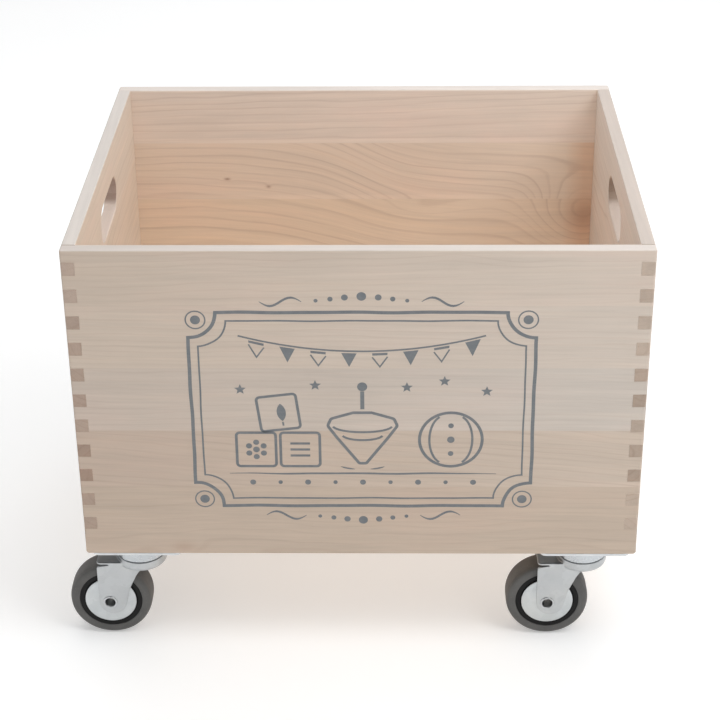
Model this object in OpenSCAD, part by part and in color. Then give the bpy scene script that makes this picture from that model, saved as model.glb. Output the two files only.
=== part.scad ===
// Rolling wooden crate: four finger-jointed walls and a floor panel on four
// swivel casters. Millimetres, +Z up, +X to the right, +Y to the back.
// The origin is on the ground, at the centre of the footprint.

/* [Box] */
// Outside width of the box, along X
box_w = 490; // [440:5:560]
// Outside depth of the box, along Y
box_d = 380; // [350:5:460]
// Height of the walls
box_h = 300; // [240:5:360]
// Thickness of the wall boards
wall_t = 12; // [10:1:15]
// Thickness of the floor panel
floor_t = 12; // [10:1:14]
// Radius on the four upright outside corners
corner_r = 2; // [1:0.5:3]
// Radius on the lower outside corners of the front and back walls
foot_r = 3; // [1:0.5:4]

/* [Finger joints] */
// Number of side wall fingers at each corner
finger_n = 11; // [7:1:13]
// Uncut height of the front and back walls below the lowest finger
finger_bottom = 26.1; // [18:0.1:32]
// Uncut height of the front and back walls above the highest finger
finger_top = 10.35; // [8:0.05:16]

/* [Handle slots] */
// Length of each handle slot, end to end
slot_l = 98; // [80:1:120]
// Height of each handle slot
slot_h = 34; // [26:1:38]
// Distance from the rim down to the middle of the slot
slot_drop = 49; // [40:1:60]

/* [Casters] */
// Height of a whole caster, ground to mounting face
caster_h = 102; // [102:1:106]
// Diameter of the wheel
wheel_d = 75; // [72:1:75]
// Width of the tyre
wheel_w = 24; // [20:1:24]
// Distance from the swivel axis back to the wheel axle
trail = 30; // [28:1:32]
// Length of the mounting plate, along X
plate_l = 80; // [76:1:84]
// Width of the mounting plate, along Y
plate_w = 60; // [56:1:64]
// Spacing of the mounting holes along X
hole_x = 60; // [58:1:62]
// Spacing of the mounting holes along Y
hole_y = 40; // [38:1:42]
// Thickness of the mounting plate
plate_t = 2.5; // [2:0.5:2.5]
// Outer radius of the swivel cup and of the fork crown
crown_r = 23; // [22:0.5:24]
// Number of balls in the upper race
upper_ball_n = 15; // [10:1:15]
// Number of balls in the lower race
lower_ball_n = 13; // [9:1:14]

/* [Hidden] */
$fn = 96;

hx = box_w / 2;
hy = box_d / 2;
z0 = caster_h;                 // underside of the box
z1 = z0 + box_h;               // rim
rabbet = wall_t / 2;           // how far the floor's edge runs under each wall
lip_t = floor_t - 1;           // thickness of that edge, below a shallow shoulder
screw_in = lip_t - 1.5;        // length of screw above the mounting plate
finger_h = (box_h - finger_bottom - finger_top) / (2 * finger_n - 1);

swivel_x = hx - plate_l / 2 - 5;
swivel_y = hy - plate_w / 2;
wr = wheel_d / 2;

plate_z = z0 - plate_t;        // underside of the mounting plate
cup_floor_z = z0 - 16;         // underside of the swivel cup
cup_t = 2.5;
race_z = z0 - 21;              // top of the crown sheet
sheet_t = 2;
shield_z = z0 - 16.5;          // top edge of the crown's rim
bowl_z = z0 - 27;              // lowest point of the crown
flange_z = z0 - 29;            // underside of the kingpin flange

leg_in = wheel_w / 2 + 2;      // inner face of a fork leg
leg_out = leg_in + 2;
axle_r = 5.25;
bore_r = 4.35;
sleeve_r = 7;
core_r = 28.75;
guard_r = 23.5;
guard_t = 0.8;

wood = [0.86, 0.77, 0.68];
zinc = [0.76, 0.78, 0.79];
dark = [0.13, 0.12, 0.12];
rubber = [0.34, 0.33, 0.32];
ball = [0.85, 0.85, 0.86];

// ---------- box ----------

// plan outline of the box with rounded upright corners
module plan() {
  square([box_w - 2 * corner_r, box_d], center = true);
  square([box_w, box_d - 2 * corner_r], center = true);
  for (sx = [-1, 1], sy = [-1, 1])
    translate([sx * (hx - corner_r), sy * (hy - corner_r)]) circle(corner_r);
}

// front view outline of the box with rounded lower corners
module elevation() {
  translate([-hx, foot_r]) square([box_w, box_h - foot_r]);
  translate([-hx + foot_r, 0]) square([box_w - 2 * foot_r, foot_r + 1]);
  for (sx = [-1, 1]) translate([sx * (hx - foot_r), foot_r]) circle(foot_r);
}

function finger_z(i) = z0 + finger_bottom + 2 * finger_h * i;

// front wall at sy = -1, back wall at sy = 1
module long_wall(sy) {
  color(wood)
  difference() {
    intersection() {
      translate([-hx, sy > 0 ? hy - wall_t : -hy, z0]) cube([box_w, wall_t, box_h]);
      translate([0, 0, z0 - 1]) linear_extrude(box_h + 2) plan();
      translate([0, hy + 1, z0]) rotate([90, 0, 0]) linear_extrude(box_d + 2) elevation();
    }
    for (sx = [-1, 1])
      for (i = [0 : finger_n - 1])
        translate([sx > 0 ? hx - wall_t : -hx - 1, sy > 0 ? hy - wall_t - 1 : -hy - 1, finger_z(i)])
          cube([wall_t + 1, wall_t + 2, finger_h]);
    translate([-hx + rabbet, sy > 0 ? hy - wall_t - 1 : -hy + rabbet, z0 - 1])
      cube([box_w - 2 * rabbet, rabbet + 1, lip_t + 1]);
  }
}

module slot_2d() {
  square([slot_l - slot_h, slot_h], center = true);
  for (s = [-1, 1]) translate([s * (slot_l - slot_h) / 2, 0]) circle(slot_h / 2);
}

// left wall at sx = -1, right wall at sx = 1
module short_wall(sx) {
  color(wood)
  difference() {
    union() {
      translate([sx > 0 ? hx - wall_t : -hx, -hy + wall_t, z0]) cube([wall_t, box_d - 2 * wall_t, box_h]);
      intersection() {
        for (sy = [-1, 1], i = [0 : finger_n - 1])
          translate([sx > 0 ? hx - wall_t : -hx, sy > 0 ? hy - wall_t - 1 : -hy, finger_z(i)])
            cube([wall_t, wall_t + 1, finger_h]);
        translate([0, 0, z0 - 1]) linear_extrude(box_h + 2) plan();
      }
    }
    translate([sx > 0 ? hx - wall_t - 1 : -hx + rabbet, -hy, z0 - 1])
      cube([rabbet + 1, box_d, lip_t + 1]);
    translate([sx * (hx - wall_t / 2), 0, z1 - slot_drop]) rotate([90, 0, 90])
      linear_extrude(wall_t + 4, center = true) slot_2d();
  }
}

module front_panel() { long_wall(-1); }
module back_panel() { long_wall(1); }
module left_panel() { short_wall(-1); }
module right_panel() { short_wall(1); }

// the four screw positions of each of the four casters
module at_screws() {
  for (cx = [-1, 1], cy = [-1, 1], sx = [-1, 1], sy = [-1, 1])
    translate([cx * swivel_x + sx * hole_x / 2, cy * swivel_y + sy * hole_y / 2, 0]) children();
}

// floor panel between the walls, with pilot holes for the screws and a shouldered
// edge all round that lies in the walls' rabbets
module floor_panel() {
  color(wood)
  difference() {
    union() {
      translate([-hx + rabbet, -hy + rabbet, z0])
        cube([box_w - 2 * rabbet, box_d - 2 * rabbet, lip_t]);
      translate([-hx + wall_t, -hy + wall_t, z0])
        cube([box_w - 2 * wall_t, box_d - 2 * wall_t, floor_t]);
    }
    at_screws() translate([0, 0, z0 - 1]) cylinder(h = screw_in + 1, r = 2);
  }
}

// pan head screws with a cross recess
module caster_screws() {
  color(zinc)
  at_screws() difference() {
    union() {
      translate([0, 0, plate_z - 2.6]) rotate_extrude()
        polygon([[0, 0], [3.2, 0], [4, 0.8], [4, 2.6], [0, 2.6]]);
      translate([0, 0, plate_z]) cylinder(h = plate_t + screw_in, r = 2);
    }
    translate([0, 0, plate_z - 2]) {
      cube([4, 0.9, 2.4], center = true);
      cube([0.9, 4, 2.4], center = true);
    }
  }
}

// ---------- caster, drawn at its swivel axis with the wheel trailing to -X ----------

module caster_plate() {
  color(zinc)
  difference() {
    translate([0, 0, plate_z]) linear_extrude(plate_t) {
      square([plate_l - 12, plate_w], center = true);
      square([plate_l, plate_w - 12], center = true);
      for (sx = [-1, 1], sy = [-1, 1])
        translate([sx * (plate_l / 2 - 6), sy * (plate_w / 2 - 6)]) circle(6);
    }
    for (sx = [-1, 1], sy = [-1, 1])
      translate([sx * hole_x / 2, sy * hole_y / 2, plate_z - 1]) cylinder(h = plate_t + 2, r = 2.75);
  }
}

// pressed cup under the plate; the upper race runs on its underside
module swivel_cup() {
  color(zinc)
  difference() {
    translate([0, 0, cup_floor_z]) rotate_extrude()
      polygon([[0, 0], [crown_r - 1.2, 0], [crown_r - 0.35, 0.35], [crown_r, 1.2], [crown_r, plate_z - cup_floor_z],
        [crown_r - 2, plate_z - cup_floor_z], [crown_r - 2, cup_t + 0.8], [crown_r - 2.8, cup_t], [0, cup_t]]);
    translate([0, 0, cup_floor_z - 1]) cylinder(h = cup_t + 2, r = 5.05);
  }
}

// riveted pin that holds the fork to the cup, with the lower race on its flange
module kingpin() {
  color(zinc) {
    translate([0, 0, flange_z]) rotate_extrude()
      polygon([[0, 0], [10.7, 0], [11.5, 0.8], [11.5, 2], [5, 2], [5, cup_floor_z + cup_t - flange_z],
        [8, cup_floor_z + cup_t - flange_z], [8, cup_floor_z + cup_t - flange_z + 1.4],
        [6.6, cup_floor_z + cup_t - flange_z + 2.5], [0, cup_floor_z + cup_t - flange_z + 2.5]]);
  }
}

module upper_balls() {
  color(ball)
  for (i = [0 : upper_ball_n - 1])
    rotate([0, 0, 360 / upper_ball_n * i]) translate([13, 0, race_z + 2.35]) sphere(2.35);
}

module lower_balls() {
  color(ball)
  for (i = [0 : lower_ball_n - 1])
    rotate([0, 0, 360 / lower_ball_n * i]) translate([9, 0, race_z - sheet_t - 1.85]) sphere(1.85);
}

// side view of a fork leg, x along the trail and y up from the ground;
// a relief slot parts its rear top edge from the web
module leg_2d() {
  back = trail + 10;
  difference() {
    union() {
      polygon([[-back, race_z - 4.5], [-back, wr], [-trail + 14.7, wr - 2.7],
        [-trail + 18.6, wr + 13.9], [-4.3, wr + 30], [-1, bowl_z - 2.4],
        [4, bowl_z + 0.3], [12, bowl_z + 1.5], [12, race_z],
        [-trail + 6, race_z], [-trail + 6, race_z - 2]]);
      translate([-trail + 2.5, wr]) circle(12.5);
    }
    translate([-trail, wr]) circle(axle_r + 0.05);
  }
}

// one pressed piece: crown, web over the wheel, and two legs
module fork() {
  color(zinc)
  difference() {
    union() {
      translate([0, 0, bowl_z]) rotate_extrude()
        polygon([[4, race_z - sheet_t - bowl_z], [crown_r - 7, race_z - sheet_t - bowl_z], [crown_r - 7, 0], [crown_r - 5, 0],
          [crown_r - 2.7, 0.4], [crown_r - 0.8, 1.9], [crown_r, 4], [crown_r, shield_z - bowl_z],
          [crown_r - 2.5, shield_z - bowl_z], [crown_r - 2.5, race_z - bowl_z], [4, race_z - bowl_z]]);
      translate([-trail - 10, -leg_out, race_z - sheet_t]) cube([trail + 10 - 8, 2 * leg_out, sheet_t]);
      for (s = [-1, 1])
        translate([0, s > 0 ? leg_out : -leg_in, 0]) rotate([90, 0, 0]) linear_extrude(2) leg_2d();
    }
    translate([0, 0, bowl_z - 5]) cylinder(h = 30, r = 5.08);
  }
}

// turns a profile drawn as (radius, width) about the wheel axle
module on_axle() { translate([-trail, 0, wr]) rotate([90, 0, 0]) rotate_extrude() children(); }

// tubular rivet, flared over both legs
module axle_rivet() {
  color(zinc) on_axle()
    polygon([[bore_r, -leg_out - 1], [6.1, -leg_out - 1], [6.6, -leg_out - 0.5], [6.6, -leg_out], [axle_r, -leg_out],
      [axle_r, leg_out], [6.6, leg_out], [6.6, leg_out + 0.5], [6.1, leg_out + 1], [bore_r, leg_out + 1]]);
}

module axle_sleeve() {
  color(zinc) on_axle()
    translate([axle_r + 0.05, -leg_in + guard_t]) square([sleeve_r - axle_r - 0.05, 2 * (leg_in - guard_t)]);
}

// dished steel discs, clamped between the sleeve and the legs
module thread_guards() {
  color(zinc) {
    on_axle() polygon([[axle_r + 0.05, leg_in - guard_t], [14, leg_in - guard_t], [guard_r, leg_in - 1.9],
      [guard_r, leg_in - 1.1], [14, leg_in], [axle_r + 0.05, leg_in]]);
    on_axle() polygon([[axle_r + 0.05, -leg_in + guard_t], [14, -leg_in + guard_t], [guard_r, -leg_in + 1.9],
      [guard_r, -leg_in + 1.1], [14, -leg_in], [axle_r + 0.05, -leg_in]]);
  }
}

module wheel_core() {
  w = wheel_w / 2;
  color(dark) on_axle()
    polygon([[sleeve_r + 0.06, -w - 0.3], [11, -w - 0.3], [11.8, -w + 1], [12.5, -4], [23, -4], [24.2, -w + 0.5],
      [core_r, -w + 0.5], [core_r, w - 0.5], [24.2, w - 0.5], [23, 4], [12.5, 4], [11.8, w - 1], [11, w + 0.3],
      [sleeve_r + 0.06, w + 0.3]]);
}

module tyre() {
  w = wheel_w / 2;
  color(rubber) on_axle()
    polygon([[core_r, -w], [wr - 3.6, -w], [wr - 2.2, -w + 0.35], [wr - 1, -w + 1.5], [wr - 0.3, -w + 3.6], [wr, -w + 6.5],
      [wr, w - 6.5], [wr - 0.3, w - 3.6], [wr - 1, w - 1.5], [wr - 2.2, w - 0.35], [wr - 3.6, w], [core_r, w]]);
}

// the front casters trail to -X, the rear ones to +X
module front_left() { translate([-swivel_x, -swivel_y, 0]) children(); }
module front_right() { translate([swivel_x, -swivel_y, 0]) children(); }
module rear_left() { translate([-swivel_x, swivel_y, 0]) rotate([0, 0, 180]) children(); }
module rear_right() { translate([swivel_x, swivel_y, 0]) rotate([0, 0, 180]) children(); }

front_panel();
back_panel();
left_panel();
right_panel();
floor_panel();
caster_screws();
front_left() caster_plate();  // caster_plate_front_left
front_left() swivel_cup();  // swivel_cup_front_left
front_left() kingpin();  // kingpin_front_left
front_left() upper_balls();  // upper_balls_front_left
front_left() lower_balls();  // lower_balls_front_left
front_left() fork();  // fork_front_left
front_left() axle_rivet();  // axle_rivet_front_left
front_left() axle_sleeve();  // axle_sleeve_front_left
front_left() thread_guards();  // thread_guards_front_left
front_left() wheel_core();  // wheel_core_front_left
front_left() tyre();  // tyre_front_left
front_right() caster_plate();  // caster_plate_front_right
front_right() swivel_cup();  // swivel_cup_front_right
front_right() kingpin();  // kingpin_front_right
front_right() upper_balls();  // upper_balls_front_right
front_right() lower_balls();  // lower_balls_front_right
front_right() fork();  // fork_front_right
front_right() axle_rivet();  // axle_rivet_front_right
front_right() axle_sleeve();  // axle_sleeve_front_right
front_right() thread_guards();  // thread_guards_front_right
front_right() wheel_core();  // wheel_core_front_right
front_right() tyre();  // tyre_front_right
rear_left() caster_plate();  // caster_plate_rear_left
rear_left() swivel_cup();  // swivel_cup_rear_left
rear_left() kingpin();  // kingpin_rear_left
rear_left() upper_balls();  // upper_balls_rear_left
rear_left() lower_balls();  // lower_balls_rear_left
rear_left() fork();  // fork_rear_left
rear_left() axle_rivet();  // axle_rivet_rear_left
rear_left() axle_sleeve();  // axle_sleeve_rear_left
rear_left() thread_guards();  // thread_guards_rear_left
rear_left() wheel_core();  // wheel_core_rear_left
rear_left() tyre();  // tyre_rear_left
rear_right() caster_plate();  // caster_plate_rear_right
rear_right() swivel_cup();  // swivel_cup_rear_right
rear_right() kingpin();  // kingpin_rear_right
rear_right() upper_balls();  // upper_balls_rear_right
rear_right() lower_balls();  // lower_balls_rear_right
rear_right() fork();  // fork_rear_right
rear_right() axle_rivet();  // axle_rivet_rear_right
rear_right() axle_sleeve();  // axle_sleeve_rear_right
rear_right() thread_guards();  // thread_guards_rear_right
rear_right() wheel_core();  // wheel_core_rear_right
rear_right() tyre();  // tyre_rear_right
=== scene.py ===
import math
import random

import bmesh
import bpy
from mathutils import Matrix, Vector


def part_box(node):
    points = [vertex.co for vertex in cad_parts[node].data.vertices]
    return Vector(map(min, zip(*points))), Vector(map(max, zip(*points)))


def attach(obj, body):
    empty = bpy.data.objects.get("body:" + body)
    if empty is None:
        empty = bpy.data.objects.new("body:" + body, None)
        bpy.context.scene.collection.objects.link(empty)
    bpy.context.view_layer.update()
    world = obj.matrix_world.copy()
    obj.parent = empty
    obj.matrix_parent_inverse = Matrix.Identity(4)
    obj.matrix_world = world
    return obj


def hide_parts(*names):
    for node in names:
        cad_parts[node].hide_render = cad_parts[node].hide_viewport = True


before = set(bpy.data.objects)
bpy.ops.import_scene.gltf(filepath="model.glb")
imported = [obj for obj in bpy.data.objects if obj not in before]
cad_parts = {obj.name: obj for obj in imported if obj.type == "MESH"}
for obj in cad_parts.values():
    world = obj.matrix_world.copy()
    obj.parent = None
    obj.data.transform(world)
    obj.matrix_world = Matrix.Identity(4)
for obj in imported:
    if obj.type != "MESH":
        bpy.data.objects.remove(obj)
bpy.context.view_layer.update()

MM = 0.001

# ---------------------------------------------------------------- sizes, from the frame
lo_f, hi_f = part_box("front_panel")
lo_l, hi_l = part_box("left_panel")
X1 = hi_f.x                    # half width
Y1 = -lo_f.y                   # half depth
Z0, Z1 = lo_f.z, hi_f.z        # underside of the walls, rim
T = hi_f.y - lo_f.y            # wall thickness
H = Z1 - Z0
FN, FB, FT = 11, 26.1 * MM, 10.35 * MM
FH = (H - FB - FT) / (2 * FN - 1)
FINGERS = [(Z0 + FB + 2 * FH * i, Z0 + FB + 2 * FH * i + FH) for i in range(FN)]
SLOT_L, SLOT_H, SLOT_Z = 98 * MM, 34 * MM, Z1 - 49 * MM
CASTERS = {"front_left": (-1, -1), "front_right": (1, -1), "rear_left": (-1, 1), "rear_right": (1, 1)}

# ---------------------------------------------------------------- camera and stage
def look(f_px, pos, yaw, pitch, roll, shift_x, shift_y):
    cy, sy, cp, sp = math.cos(yaw), math.sin(yaw), math.cos(pitch), math.sin(pitch)
    fwd = Vector((sy * cp, cy * cp, -sp))
    right = Vector((cy, -sy, 0))
    up = right.cross(fwd)
    cr, sr = math.cos(roll), math.sin(roll)
    r2, u2 = cr * right + sr * up, -sr * right + cr * up
    cam = bpy.data.cameras.new("camera")
    ob = bpy.data.objects.new("camera", cam)
    bpy.context.scene.collection.objects.link(ob)
    m = Matrix((r2, u2, -fwd)).transposed().to_4x4()
    m.translation = Vector(pos)
    ob.matrix_world = m
    cam.sensor_fit, cam.sensor_width = "HORIZONTAL", 36
    cam.lens = f_px / 720 * 36
    cam.shift_x, cam.shift_y = shift_x, shift_y
    cam.clip_start, cam.clip_end = 0.05, 50
    bpy.context.scene.camera = ob
    return ob


camera = look(1813.892, (0.02806, -1.52410, 0.94570 + Z0), -0.01954, 0.47122, -0.00966, 0.0, -0.1)

scene = bpy.context.scene
scene.view_settings.view_transform = "Standard"
scene.view_settings.look = "None"

world = bpy.data.worlds.new("studio")
scene.world = world
world.use_nodes = True
wt = world.node_tree
sky_dir = wt.nodes.new("ShaderNodeTexCoord")
sky_sep = wt.nodes.new("ShaderNodeSeparateXYZ")
sky = wt.nodes.new("ShaderNodeValToRGB")
wt.links.new(sky_dir.outputs["Generated"], sky_sep.inputs[0])
wt.links.new(sky_sep.outputs[2], sky.inputs[0])
wt.links.new(sky.outputs[0], wt.nodes["Background"].inputs[0])
sky.color_ramp.elements[0].position, sky.color_ramp.elements[0].color = 0.16, (1, 1, 1, 1)
sky.color_ramp.elements[1].position, sky.color_ramp.elements[1].color = 0.42, (0.34, 0.345, 0.35, 1)
wt.nodes["Background"].inputs[1].default_value = 0.80


def area(name, pos, aim, size, power, color=(1, 1, 1)):
    data = bpy.data.lights.new(name, "AREA")
    data.shape, data.size, data.size_y = "RECTANGLE", size[0], size[1]
    data.energy, data.color = power, color
    ob = bpy.data.objects.new(name, data)
    bpy.context.scene.collection.objects.link(ob)
    ob.location = pos
    ob.rotation_mode = "QUATERNION"
    ob.rotation_quaternion = (Vector(aim) - Vector(pos)).to_track_quat("-Z", "Y")
    return ob


area("key_light", (1.18, -0.78, 1.92), (0.05, 0, 0.25), (1.2, 1.2), 19, (1.0, 0.995, 0.985))
area("top_light", (0.0, 0.1, 3.0), (0, 0, 0.2), (3.0, 3.0), 47, (0.985, 0.995, 1.0))
area("back_light", (0.3, 2.6, 2.6), (0, 0, 0.2), (3.0, 1.6), 21)

# ---------------------------------------------------------------- node helpers
class Net:
    def __init__(self, name):
        self.mat = bpy.data.materials.new(name)
        self.mat.use_nodes = True
        self.nt = self.mat.node_tree
        self.nt.nodes.clear()
        self.out = self.nt.nodes.new("ShaderNodeOutputMaterial")
        self.bsdf = self.nt.nodes.new("ShaderNodeBsdfPrincipled")
        self.nt.links.new(self.bsdf.outputs[0], self.out.inputs[0])

    def put(self, node, i, v):
        s = node.inputs[i]
        if isinstance(v, bpy.types.NodeSocket):
            self.nt.links.new(v, s)
        elif v is not None:
            s.default_value = v

    def math(self, op, a, b=None, c=None, clamp=False):
        n = self.nt.nodes.new("ShaderNodeMath")
        n.operation, n.use_clamp = op, clamp
        for i, v in enumerate((a, b, c)):
            self.put(n, i, v)
        return n.outputs[0]

    def vec(self, op, a, b=None, scale=None):
        n = self.nt.nodes.new("ShaderNodeVectorMath")
        n.operation = op
        self.put(n, 0, a)
        if b is not None:
            self.put(n, 1, b)
        if scale is not None:
            self.put(n, "Scale", scale)
        return n.outputs["Value"] if op in ("LENGTH", "DOT_PRODUCT", "DISTANCE") else n.outputs[0]

    def sep(self, v):
        n = self.nt.nodes.new("ShaderNodeSeparateXYZ")
        self.put(n, 0, v)
        return n.outputs[0], n.outputs[1], n.outputs[2]

    def comb(self, x, y, z):
        n = self.nt.nodes.new("ShaderNodeCombineXYZ")
        for i, v in enumerate((x, y, z)):
            self.put(n, i, v)
        return n.outputs[0]

    def attr(self, name):
        n = self.nt.nodes.new("ShaderNodeAttribute")
        n.attribute_type, n.attribute_name = "GEOMETRY", name
        return n

    def coord(self, which="Object"):
        return self.nt.nodes.new("ShaderNodeTexCoord").outputs[which]

    def noise(self, v, scale=1.0, detail=2.0, rough=0.5, distortion=0.0):
        n = self.nt.nodes.new("ShaderNodeTexNoise")
        n.noise_dimensions = "3D"
        self.put(n, "Vector", v)
        self.put(n, "Scale", scale)
        self.put(n, "Detail", detail)
        self.put(n, "Roughness", rough)
        self.put(n, "Distortion", distortion)
        return n.outputs[0]

    def voronoi(self, v, scale=1.0, feature="F1", out="Distance"):
        n = self.nt.nodes.new("ShaderNodeTexVoronoi")
        n.feature = feature
        self.put(n, "Vector", v)
        self.put(n, "Scale", scale)
        return n.outputs[out]

    def ramp(self, f, stops, between="LINEAR"):
        n = self.nt.nodes.new("ShaderNodeValToRGB")
        r = n.color_ramp
        r.interpolation = between
        while len(r.elements) > 1:
            r.elements.remove(r.elements[-1])
        for i, (p, c) in enumerate(stops):
            e = r.elements[0] if i == 0 else r.elements.new(p)
            e.position = p
            e.color = (c, c, c, 1) if isinstance(c, (int, float)) else (*c, 1)
        self.put(n, 0, f)
        return n.outputs[0]

    def mix(self, f, a, b, mode="MIX"):
        n = self.nt.nodes.new("ShaderNodeMix")
        n.data_type, n.blend_type = "RGBA", mode
        n.clamp_factor = True
        self.put(n, 0, f)
        for i, v in ((6, a), (7, b)):
            if isinstance(v, (tuple, list)) and len(v) == 3:
                v = (*v, 1)
            self.put(n, i, v)
        return n.outputs[2]

    def span(self, f, a, b, c=0.0, d=1.0):
        n = self.nt.nodes.new("ShaderNodeMapRange")
        n.clamp = True
        for i, v in enumerate((f, a, b, c, d)):
            self.put(n, i, v)
        return n.outputs[0]

    def bump(self, height, strength, distance, normal=None):
        n = self.nt.nodes.new("ShaderNodeBump")
        n.inputs["Strength"].default_value = strength
        n.inputs["Distance"].default_value = distance
        self.put(n, "Height", height)
        if normal is not None:
            self.put(n, "Normal", normal)
        return n.outputs[0]

    def set(self, **kw):
        for k, v in kw.items():
            self.put(self.bsdf, k.replace("_", " "), v if not (isinstance(v, tuple) and len(v) == 3) else (*v, 1))


# ---------------------------------------------------------------- wood
PALE, TAN, LATE = (0.655, 0.570, 0.492), (0.655, 0.520, 0.410), (0.46, 0.32, 0.24)
# paler copies of the wood for faces seen from inside the box: painted light that lifts the shade inside
PALE_IN_PAINTED_LIGHT, TAN_IN_PAINTED_LIGHT = (0.845, 0.725, 0.620), (0.835, 0.665, 0.500)


def wood(name, axis, pale=PALE, tan=TAN, knots=(), steps=(), strips=(), ends=(1, 1, 1), fingers=(), rim_light_tone=(1, 1, 1), slot_shade=None, tone_and_light_drift=(), side=None):
    """Pale, close-grained wood. gc: place along, across and into the board, from the pith. gt: tone, warmth and ring
    contrast of the board. gs: how far apart its rings are.
    axis: which way the grain runs. knots: (along, z, half length, half height, how far it pushes the rings, how dark).
    steps: places where the figure drops (along, half length, drop, z from, z to). strips: paler lines along a seam (z,
    half height, gain). ends: how light the end grain is. rim_light_tone: how light the rim is, painted light and shade.
    slot_shade: painted shade inside
    the handle slot. fingers: how light each finger's end is, from the lowest up. tone_and_light_drift: how a board's
    colour changes along it, partly its own tone, partly painted light (z from, z to, along from, along to, factor
    before, factor after). side: painted light, one face of the board made lighter or darker for the light it gets (0 or
    1 for X or Y, its sign, factor); tone_and_light_drift leaves that face out."""
    k = Net(name)
    gc = k.attr("gc").outputs["Vector"]
    tone, warm, contrast = k.sep(k.attr("gt").outputs["Vector"])
    spacing = k.attr("gs").outputs["Fac"]
    u, v, w = k.sep(gc)
    px, py, pz = k.sep(k.coord())
    along = px if axis == "x" else py
    for (a, half, drop, z_from, z_to) in steps:
        fall = k.math("MULTIPLY", k.math("TANH", k.math("DIVIDE", k.math("SUBTRACT", along, a), half)), drop)
        here = k.math("MULTIPLY", k.math("GREATER_THAN", pz, z_from), k.math("LESS_THAN", pz, z_to))
        v = k.math("MULTIPLY_ADD", fall, here, v)
    slow = k.noise(k.comb(k.math("MULTIPLY", u, 4.2), k.math("MULTIPLY", v, 14), k.math("MULTIPLY", w, 14)), 1, 2.0, 0.5)
    slow2 = k.noise(k.comb(k.math("MULTIPLY", u, 6.1), k.math("MULTIPLY", v, 22), k.math("MULTIPLY_ADD", w, 22, 7.7)), 1, 2.0, 0.5)
    quick = k.noise(k.comb(k.math("MULTIPLY", u, 26), k.math("MULTIPLY", v, 90), k.math("MULTIPLY", w, 90)), 1, 2.0, 0.5)
    va = k.math("MULTIPLY_ADD", k.math("SUBTRACT", slow, 0.5), 0.024, v)
    wa = k.math("MULTIPLY_ADD", k.math("SUBTRACT", slow2, 0.5), 0.022, w)
    r = k.math("SQRT", k.math("ADD", k.math("MULTIPLY", va, va), k.math("MULTIPLY", wa, wa)))
    r = k.math("MULTIPLY_ADD", k.math("SUBTRACT", quick, 0.5), 0.0020, r)
    knot_dark = None
    for (a, b, ra, rb, push, dark) in knots:
        da = k.math("DIVIDE", k.math("SUBTRACT", along, a), ra)
        db = k.math("DIVIDE", k.math("SUBTRACT", pz, b), rb)
        d2 = k.math("ADD", k.math("MULTIPLY", da, da), k.math("MULTIPLY", db, db))
        wide = k.math("EXPONENT", k.math("MULTIPLY", d2, -0.22))
        r = k.math("MULTIPLY_ADD", wide, push, r)
        if dark:
            core = k.math("MULTIPLY", k.math("EXPONENT", k.math("MULTIPLY", d2, -1.0)), dark)
            knot_dark = core if knot_dark is None else k.math("ADD", knot_dark, core, clamp=True)
    # rings lie closer in some years than in others
    years = k.noise(k.comb(0.0, k.math("MULTIPLY", r, 34), 1.3), 1, 1.0, 0.5)
    phase = k.math("FRACT", k.math("DIVIDE", k.math("MULTIPLY_ADD", years, 0.022, r), spacing))
    ring = k.ramp(phase, [(0.0, 0.10), (0.10, 0.0), (0.45, 0.06), (0.74, 0.22), (0.86, 1.0), (0.94, 0.85), (1.0, 0.10)])
    fade = k.noise(k.comb(k.math("MULTIPLY", u, 3.0), k.math("MULTIPLY", r, 120), 3.3), 1, 2.0, 0.6)
    ring = k.math("MULTIPLY", ring, k.span(fade, 0.30, 0.66, 0.20, 1.0))
    ring = k.math("MULTIPLY", ring, contrast)
    fibre = k.noise(k.comb(k.math("MULTIPLY", u, 16), k.math("MULTIPLY", v, 620), k.math("MULTIPLY", w, 620)), 1, 4.0, 0.62)
    streak = k.noise(k.comb(k.math("MULTIPLY", u, 3.5), k.math("MULTIPLY", v, 95), k.math("MULTIPLY", w, 95)), 1, 3.0, 0.55)
    thread = k.noise(k.comb(k.math("MULTIPLY", u, 6), k.math("MULTIPLY", v, 260), k.math("MULTIPLY", w, 260)), 1, 2.0, 0.5)
    mottle = k.noise(k.comb(k.math("MULTIPLY", u, 7), k.math("MULTIPLY", v, 18), k.math("MULTIPLY", w, 18)), 1, 3.0, 0.6)
    fleck = k.noise(k.comb(k.math("MULTIPLY", u, 130), k.math("MULTIPLY", v, 2400), k.math("MULTIPLY", w, 2400)), 1, 2.0, 0.5)
    pore = k.span(fleck, 0.62, 0.78, 0, 1)
    nx, ny, nz = k.sep(k.coord("Normal"))
    end = k.span(k.math("ABSOLUTE", nx if axis == "x" else ny), 0.55, 0.8, 0, 1)
    rim = k.math("MULTIPLY", k.span(nz, 0.45, 0.9, 0, 1), k.math("GREATER_THAN", pz, Z1 - 0.004))
    endpores = k.noise(gc, 1500, 2.0, 0.5)

    base = k.mix(warm, pale, tan)
    base = k.mix(k.math("MULTIPLY", ring, 0.36, clamp=True), base, LATE)
    lift = k.math("ADD", k.math("MULTIPLY", k.math("SUBTRACT", fibre, 0.5), 0.15), k.math("MULTIPLY", k.math("SUBTRACT", streak, 0.5), 0.16))
    lift = k.math("ADD", lift, k.math("MULTIPLY", k.math("SUBTRACT", mottle, 0.5), 0.15))
    lift = k.math("ADD", lift, k.math("MULTIPLY", k.math("SUBTRACT", thread, 0.5), 0.15))
    lift = k.math("SUBTRACT", lift, k.math("MULTIPLY", pore, 0.045))
    lift = k.math("ADD", lift, k.math("ADD", 1.0, tone))
    for (z, half, gain) in strips:
        near = k.span(k.math("ABSOLUTE", k.math("SUBTRACT", pz, z)), half * 0.35, half, 1, 0)
        lift = k.math("MULTIPLY_ADD", near, gain, lift)
    base = k.mix(1.0, base, k.comb(lift, lift, lift), "MULTIPLY")
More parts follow.
